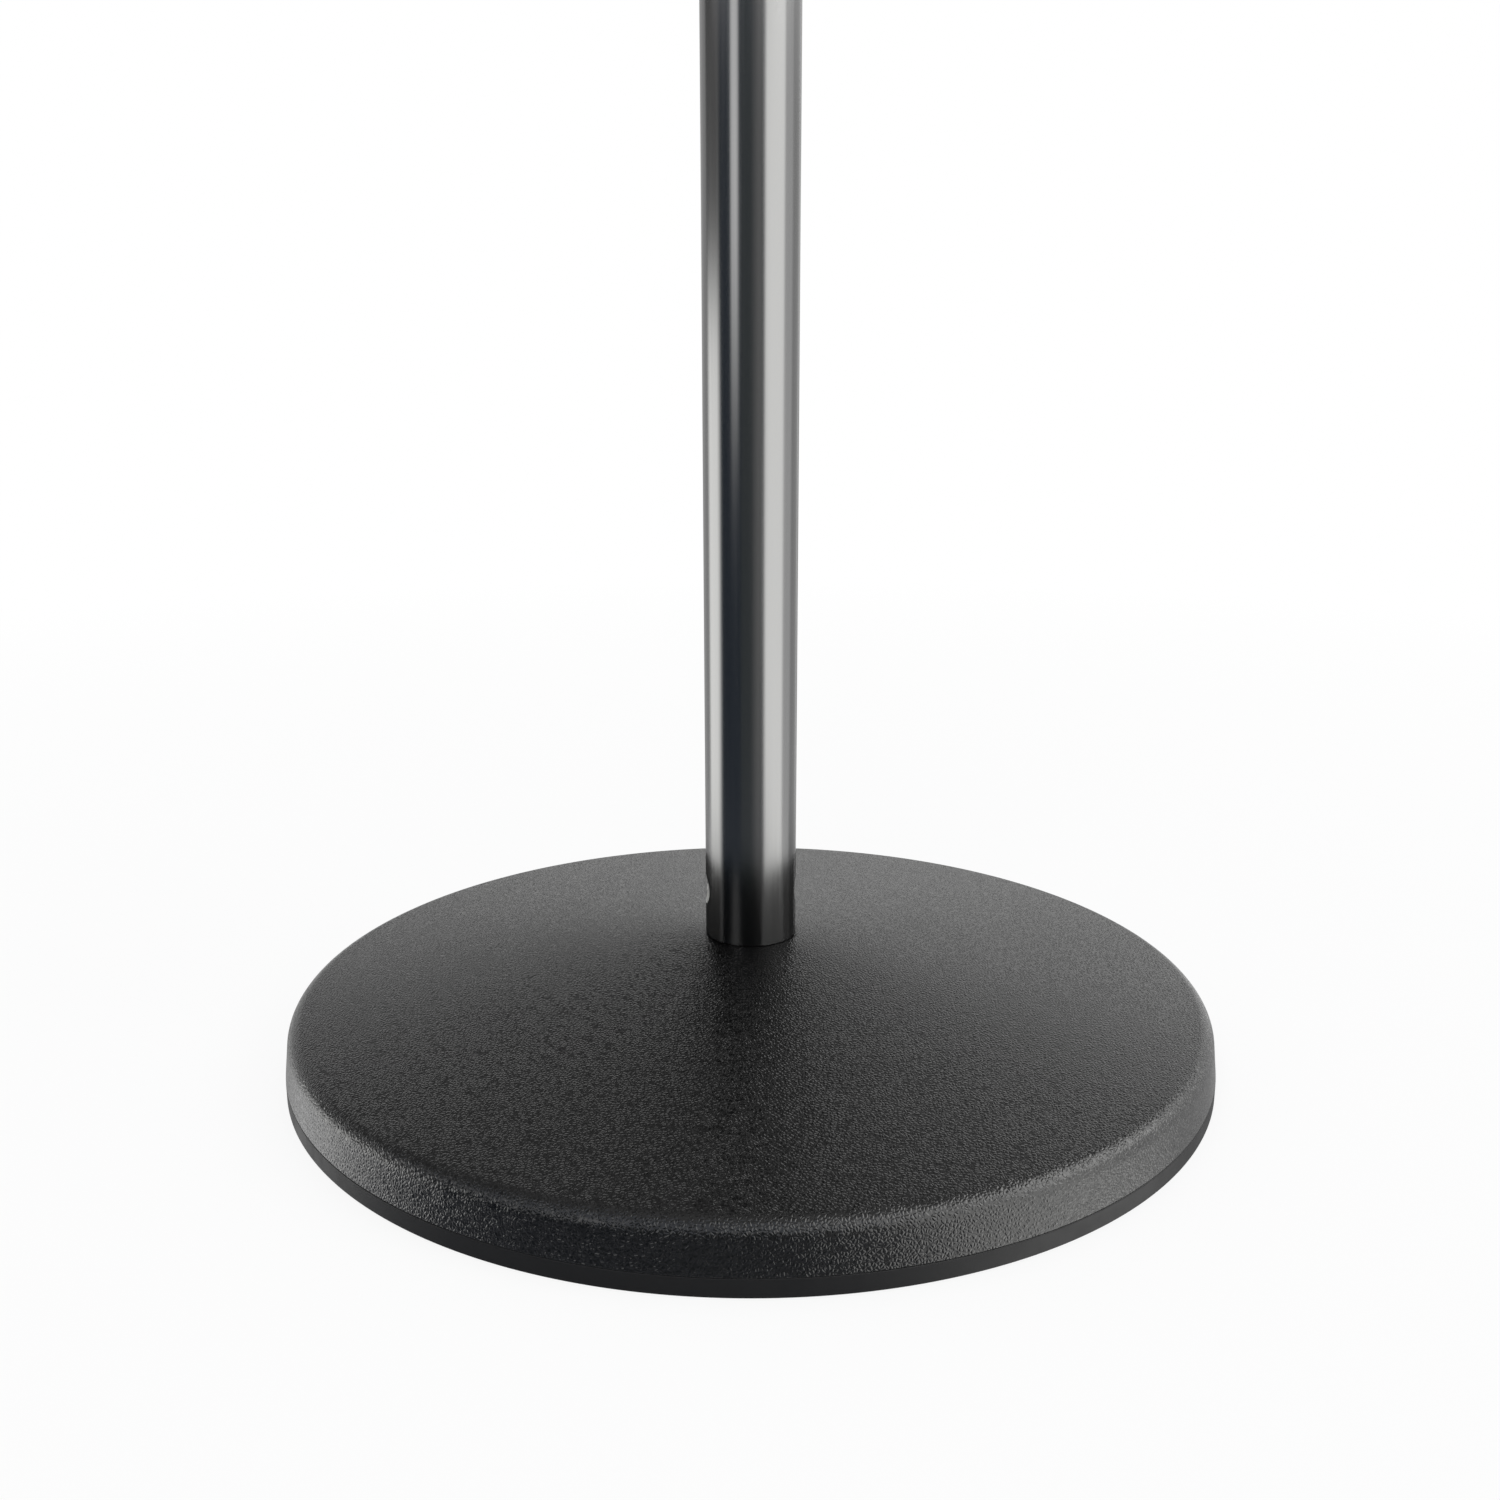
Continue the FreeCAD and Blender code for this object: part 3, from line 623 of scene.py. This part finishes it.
pin_rim_angle, pin_rim_height = hole_rim(shank_r, pin_hole, pin_side)
far_rim = wall_points(shank_r, pin_aim + np.pi - pin_rim_angle, pin_level + pin_rim_height)
near_rim = wall_points(shank_r, pin_aim + pin_rim_angle, pin_level + pin_rim_height)
pin_wall = np.stack((far_rim, near_rim), axis=1)
plug_skins.append((pin_wall.reshape(-1, 3), quads(4 * pin_side, 2, True, False)))
head_plug = piece("head_plug_plated", *plug_skins)

head_chrome = new_finish("turned_bright_chrome", (0.6, 0.605, 0.62), 0.14, metallic=1.0)
raise_by(head_chrome, lathe_marks(head_chrome, 0.4), 0.003)
vary(head_chrome, "Roughness", lathe_marks(head_chrome, 0.8), 0.1, 0.2)
fit(head_plug, "upper_mast", "head_plug", head_chrome)


# Thread stud
# The steel stud that the microphone clip screws on: 3/8 inch with sixteen threads to the inch, rolled and
# zinc plated, pressed by its plain root into the head plug.

stud_r = 25.4 * 3 / 16
stud_foot = head_top
stud_top = stud_foot + 16
root_r = 3.98
root_foot = socket_foot + 0.02
pitch = 25.4 / 16
stud_columns = 96
stud_rows = 300


def thread_relief(heights):
    """How far the thread lies inside the stud's radius: with d from 0 at a crest to 1 half a pitch away,
    it is 0 up to 1/8, 0.613 pitches from 3/4 on and straight between. The crest climbs one pitch a turn.
    At the foot the groove runs out to the core, and at the top a 45 degree chamfer cuts it."""
    turn = np.arange(stud_columns) / stud_columns
    phase = (heights[:, None] - stud_foot) / pitch - turn
    from_crest = 2 * np.abs(phase % 1 - 0.5)
    depth = 0.613 * pitch
    bevel = 1.2
    groove = depth * np.clip((from_crest - 0.125) / 0.625, 0, 1)
    neck = depth * np.clip(1.5 - (heights[:, None] - stud_foot) / 0.6, 0, 1)
    chamfer = np.clip(heights[:, None] - (stud_top - bevel), 0, bevel)
    return np.maximum(np.maximum(groove, neck), chamfer)


thread_heights = np.linspace(stud_foot, stud_top, stud_rows)
root_line = [
    (0, root_foot), (root_r - 0.38, root_foot), (root_r, root_foot + 0.4), (root_r, stud_foot - 0.02),
]
stud_points = np.vstack((
    root_line,
    np.column_stack((np.full(stud_rows, stud_r), thread_heights)),
    [(0, stud_top)],
))
stud_relief = np.zeros((len(stud_points), stud_columns))
stud_relief[len(root_line):-1] = thread_relief(thread_heights)
stud = piece("thread_stud_rolled", turned(stud_points, stud_columns, rows_close=False, relief=stud_relief))

stud_zinc = new_finish("rolled_zinc_thread", (0.56, 0.56, 0.57), 0.26, metallic=1.0)
raise_by(stud_zinc, lumps(stud_zinc, 0.3), 0.004)
vary(stud_zinc, "Roughness", lumps(stud_zinc, 1.2), 0.2, 0.34)
fit(stud, "upper_mast", "thread_stud", stud_zinc)


# Spring pin
# A slotted pin of blackened spring steel, rolled from strip and driven through the upper tube and the plug.

refinish(spring_steel, "spring_pin")


# Studio
# A pale round floor, soft lights from above, the front and the right, and bent cards round the stand that
# only its own gloss shows, as flags and reflectors do when plated tube is photographed. The cards are dimmer
# in a second reflection, which keeps the tube's foot and the coat in front of it dark.


def sight(tree):
    """1 for what the camera, a gloss or a clear piece sees, and 0 for what lights the stand."""
    rays = tree.nodes.new("ShaderNodeLightPath")
    first = tree.nodes.new("ShaderNodeMath")
    first.operation = "ADD"
    first.use_clamp = True
    both = tree.nodes.new("ShaderNodeMath")
    both.operation = "ADD"
    both.use_clamp = True
    tree.links.new(rays.outputs["Is Camera Ray"], first.inputs[0])
    tree.links.new(rays.outputs["Is Glossy Ray"], first.inputs[1])
    tree.links.new(first.outputs["Value"], both.inputs[0])
    tree.links.new(rays.outputs["Is Transmission Ray"], both.inputs[1])
    return both.outputs["Value"]


surround = bpy.data.worlds.new("studio_surround")
surround.use_nodes = True
scene.world = surround
room = surround.node_tree
soft_fill = room.nodes["Background"]
soft_fill.inputs["Color"].default_value = (0.97, 0.98, 1.0, 1)
soft_fill.inputs["Strength"].default_value = 0.45
surround.cycles.sampling_method = "NONE"
white = room.nodes.new("ShaderNodeBackground")
white.inputs["Color"].default_value = (1, 1, 1, 1)
white.inputs["Strength"].default_value = 1
choice = room.nodes.new("ShaderNodeMixShader")
room.links.new(sight(room), choice.inputs["Fac"])
room.links.new(soft_fill.outputs["Background"], choice.inputs[1])
room.links.new(white.outputs["Background"], choice.inputs[2])
room.links.new(choice.outputs["Shader"], room.nodes["World Output"].inputs["Surface"])

floor_level = -0.2
floor_line = np.array([(radius, floor_level) for radius in (9000, 1000, 300, 0)])
floor = piece("studio_floor", turned(floor_line, 96, rows_close=False))
pale = bpy.data.materials.new("pale_floor")
pale.use_nodes = True
paint = pale.node_tree
paint.nodes.remove(paint.nodes["Principled BSDF"])
matt = paint.nodes.new("ShaderNodeBsdfDiffuse")
matt.inputs["Color"].default_value = (0.85, 0.85, 0.85, 1)
bright = paint.nodes.new("ShaderNodeEmission")
floor_place = paint.nodes.new("ShaderNodeTexCoord")
from_stand = paint.nodes.new("ShaderNodeVectorMath")
from_stand.operation = "LENGTH"
fade_out = paint.nodes.new("ShaderNodeMapRange")
fade_out.inputs["From Min"].default_value = 0.2
fade_out.inputs["From Max"].default_value = 1.0
fade_out.inputs["To Min"].default_value = 0.87
fade_out.inputs["To Max"].default_value = 1.0
share_lit = paint.nodes.new("ShaderNodeMath")
share_lit.operation = "MULTIPLY"
paint.links.new(floor_place.outputs["Object"], from_stand.inputs[0])
paint.links.new(from_stand.outputs["Value"], fade_out.inputs["Value"])
paint.links.new(fade_out.outputs["Result"], share_lit.inputs[1])
shown = paint.nodes.new("ShaderNodeMixShader")
paint.links.new(sight(paint), share_lit.inputs[0])
paint.links.new(share_lit.outputs["Value"], shown.inputs["Fac"])
paint.links.new(matt.outputs["BSDF"], shown.inputs[1])
paint.links.new(bright.outputs["Emission"], shown.inputs[2])
paint.links.new(shown.outputs["Shader"], paint.nodes["Material Output"].inputs["Surface"])
floor.data.materials.append(pale)
floor.visible_glossy = False


def flag(name, sides, levels, glow, soft_sides=4.0, soft_levels=4.0, away=6.0, again=0.15):
    """A studio flag or reflector far from the stand, seen in its gloss alone. It is part of a ball: at side
    angle s, counted from the camera to the right, and level angle v it is at away (cos v sin s,
    -cos v cos s, sin v) metres. Its cover rises from 0 at the edges to 1 over the soft angles. In a
    second reflection it glows by the share again."""
    lines = 41
    side = np.linspace(*sides, lines)
    level = np.linspace(*levels, lines)[:, None]
    from_sides = np.minimum(side - sides[0], sides[1] - side) / soft_sides
    from_levels = np.minimum(level - levels[0], levels[1] - level) / soft_levels
    cover = np.clip(from_sides, 0, 1) * np.clip(from_levels, 0, 1)
    s = np.radians(side)
    v = np.radians(level)
    spots = np.stack((np.cos(v) * np.sin(s), -np.cos(v) * np.cos(s), np.sin(v) + 0 * s), axis=-1)
    mesh = bpy.data.meshes.new(name)
    faces = quads(lines, lines, False, False)
    mesh.from_pydata((spots.reshape(-1, 3) * away).tolist(), [], faces.tolist())
    mesh.attributes.new("cover", "FLOAT", "POINT").data.foreach_set("value", cover.ravel())
    thing = bpy.data.objects.new(name, mesh)
    scene.collection.objects.link(thing)
    cloth = bpy.data.materials.new(name)
    cloth.use_nodes = True
    cloth.cycles.emission_sampling = "NONE"
    weave = cloth.node_tree
    weave.nodes.remove(weave.nodes["Principled BSDF"])
    light = weave.nodes.new("ShaderNodeEmission")
    light.inputs["Color"].default_value = (*glow, 1)
    rays = weave.nodes.new("ShaderNodeLightPath")
    dim = weave.nodes.new("ShaderNodeMapRange")
    dim.inputs["From Min"].default_value = 1
    dim.inputs["From Max"].default_value = 2
    dim.inputs["To Min"].default_value = 1
    dim.inputs["To Max"].default_value = again
    weave.links.new(rays.outputs["Ray Depth"], dim.inputs["Value"])
    weave.links.new(dim.outputs["Result"], light.inputs["Strength"])
    clear = weave.nodes.new("ShaderNodeBsdfTransparent")
    thick = weave.nodes.new("ShaderNodeAttribute")
    thick.attribute_name = "cover"
    mixed = weave.nodes.new("ShaderNodeMixShader")
    weave.links.new(thick.outputs["Fac"], mixed.inputs["Fac"])
    weave.links.new(clear.outputs["BSDF"], mixed.inputs[1])
    weave.links.new(light.outputs["Emission"], mixed.inputs[2])
    weave.links.new(mixed.outputs["Shader"], weave.nodes["Material Output"].inputs["Surface"])
    thing.data.materials.append(cloth)
    thing.visible_camera = False
    thing.visible_diffuse = False
    thing.visible_transmission = False
    thing.visible_volume_scatter = False
    thing.visible_shadow = False


# Above the stand, then in front of it.
flag("flag_ceiling", (-190, 190), (34, 91), (0.15, 0.15, 0.15), soft_sides=10, soft_levels=10, away=6.8)
flag("panel_top", (-190, 190), (60, 91), (0.5, 0.5, 0.5), soft_sides=10, soft_levels=8, away=6.7)
flag("flag_left_front", (-80, -20), (-70, 60), (0.05, 0.065, 0.085), soft_sides=6)
flag("flag_front", (-30, 32), (-70, 60), (0.1, 0.115, 0.12), away=6.3, again=0.05)
flag("flag_front_right", (0, 36), (-70, 60), (0.33, 0.33, 0.33), soft_sides=18, again=0.05)
flag("flag_front_low", (-112, 46), (-70, -17), (0.24, 0.25, 0.28), soft_sides=12, away=5.95)
flag("panel_front_high", (-66, 50), (17, 64), (0.66, 0.7, 0.78), soft_sides=14, soft_levels=9, away=5.75)
flag("panel_front_right", (4, 70), (17, 68), (2.3, 2.3, 2.28), soft_sides=30, soft_levels=8, away=5.7)

# On the right, from the front to the back.
flag("panel_right", (31, 87), (-21, 26), (2.26, 2.26, 2.22), soft_sides=5, soft_levels=4)
flag("panel_right_low", (42, 112), (-48, -16), (2.4, 2.4, 2.35), soft_sides=26, soft_levels=6, away=5.9)
flag("panel_key", (50, 128), (16, 59), (3.75, 3.75, 3.7), soft_sides=18, soft_levels=7, away=5.65)
flag("panel_right_back", (84, 116), (-26, 26), (1.0, 1.0, 1.0), soft_sides=8, soft_levels=8, away=6.1)
flag("flag_right_low", (106, 168), (-70, -14), (0.36, 0.36, 0.36), soft_sides=8, away=6.15)
flag("flag_right_side", (108, 150), (-18, 60), (0.58, 0.58, 0.58), soft_sides=6, away=6.25)
flag("panel_right_back_mid", (112, 178), (11, 40), (0.92, 0.92, 0.92), soft_sides=10, soft_levels=8,
     away=6.2)
flag("flag_right_back", (112, 178), (22, 66), (0.27, 0.27, 0.27), soft_sides=10, soft_levels=12, away=6.15)

# On the left, from the back to the front.
flag("flag_left_back", (-165, -114), (-18, 60), (0.55, 0.55, 0.55), soft_sides=8, away=6.3)
flag("flag_left_back_high", (-178, -108), (16, 60), (0.16, 0.16, 0.16), soft_sides=8, soft_levels=14,
     away=6.25)
flag("flag_left_low", (-172, -130), (-70, -14), (0.3, 0.3, 0.3), soft_sides=6, away=6.2)
flag("panel_left_low", (-146, -100), (-48, -15), (1.0, 1.0, 1.0), soft_sides=12, soft_levels=6, away=5.9)
flag("panel_left", (-124, -77), (-20, 7), (2.4, 2.4, 2.35), soft_sides=9, soft_levels=4, again=0.03)
flag("flag_left_high", (-126, -70), (3, 60), (0.2, 0.2, 0.2), soft_sides=5, soft_levels=4, away=6.1)
flag("panel_left_high", (-104, -44), (14, 40), (1.0, 1.0, 1.03), soft_sides=12, soft_levels=9,
     away=5.8, again=0.03)
flag("strip_left_front", (-49, -27), (-2, 36), (1.65, 1.65, 1.65), soft_sides=4, soft_levels=9,
     away=5.6, again=0.45)

# Behind the stand.
flag("flag_back", (150, 210), (-20, 34), (0.4, 0.4, 0.4), soft_sides=10, soft_levels=6, away=6.5)
flag("panel_back_low", (144, 216), (0, 15), (0.72, 0.72, 0.71), soft_sides=12, soft_levels=7, away=6.45)
flag("flag_back_high", (165, 225), (14, 66), (0.16, 0.16, 0.16), soft_sides=8, soft_levels=20, away=6.3)


def soft_light(name, place, aim, side, power):
    """A square soft light that looks from its place at a point, both in metres."""
    lamp = bpy.data.lights.new(name, "AREA")
    lamp.shape = "SQUARE"
    lamp.size = side
    lamp.energy = power
    thing = bpy.data.objects.new(name, lamp)
    thing.location = place
    look = Vector(aim) - Vector(place)
    thing.rotation_euler = look.to_track_quat("-Z", "Y").to_euler()
    thing.visible_camera = False
    thing.visible_glossy = False
    scene.collection.objects.link(thing)


soft_light("light_above", (0.0, 0.3, 2.6), (0, 0, 0), 1.8, 22)
soft_light("light_front", (-0.5, -1.7, 1.7), (0, 0, 0.2), 1.0, 14)
soft_light("light_right", (1.9, -0.6, 1.4), (0, 0, 0.3), 1.2, 12)


# Camera
# At the height of a low tripod, close to the base, and tilted down a little, as the photograph was taken.

lens = bpy.data.cameras.new("photo_camera")
lens.sensor_width = 36
lens.lens = 35.68
camera = bpy.data.objects.new("photo_camera", lens)
camera.location = (-0.0002, -0.3934, 0.1810)
tilt_down = np.radians(13.925)
camera.rotation_euler = (np.pi / 2 - tilt_down, 0, 0)
scene.collection.objects.link(camera)
scene.camera = camera
